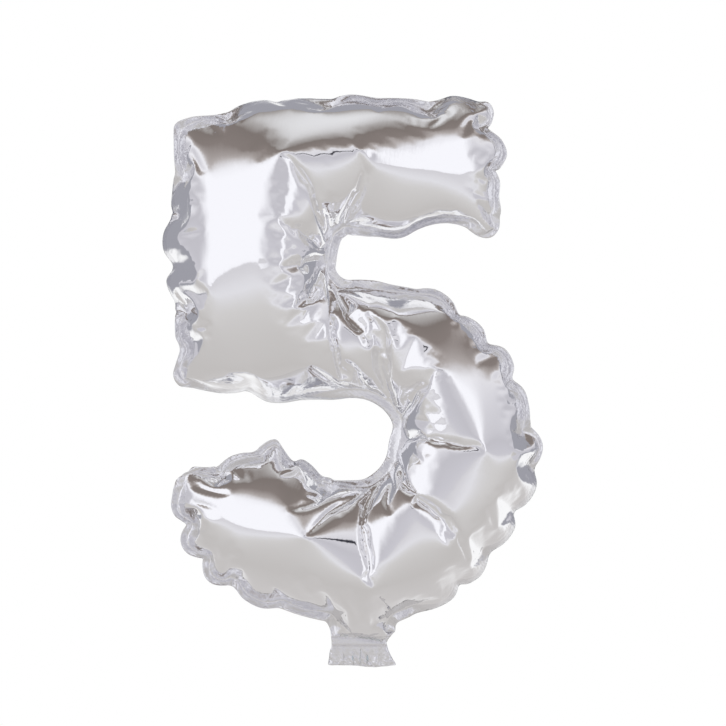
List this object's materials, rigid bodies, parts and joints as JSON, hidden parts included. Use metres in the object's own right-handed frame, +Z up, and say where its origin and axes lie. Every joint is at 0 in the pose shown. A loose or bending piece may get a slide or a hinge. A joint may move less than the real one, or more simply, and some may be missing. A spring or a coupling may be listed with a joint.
{
  "type": "foil number balloon",
  "caption": "Air-filled metallised film balloon in the shape of a figure 5, with a heat-sealed edge and a folding filling tail that holds a flat self-closing valve.",
  "frame": {"origin": "middle of the crease where the filling tail leaves the figure, on the seam plane between the two films", "axes": "+Z up the figure from the tail to the top edge, +X to the figure's right as it is read, +Y to its back, so the front faces -Y"},
  "size_m": [0.2255, 0.082, 0.3401],
  "materials": {
    "silver_film": "metallised film with a mirror gloss, wrinkled at the seam",
    "silver_film_back": "metallised film with a mirror gloss, the same as the front",
    "valve_film": "clear polyethylene film, soft gloss",
    "release_coat": "printed heat-resistant coat, matte"
  },
  "bodies": {
    "figure": {"front_panel": "silver_film", "back_panel": "silver_film_back", "valve_front_film": "valve_film", "valve_back_film": "valve_film"},
    "tail": {"tail_front_panel": "silver_film", "tail_back_panel": "silver_film_back", "tail_valve_front_film": "valve_film", "tail_valve_back_film": "valve_film", "release_coat": "release_coat"}
  },
  "joints": [
    {"name": "tail_fold", "type": "hinge", "parent": "figure", "child": "tail", "pos_m": [0, 0, 0], "axis": [1, 0, 0], "range_deg": [-90, 90], "stiffness_Nm_per_rad": 0.0003}
  ]
}
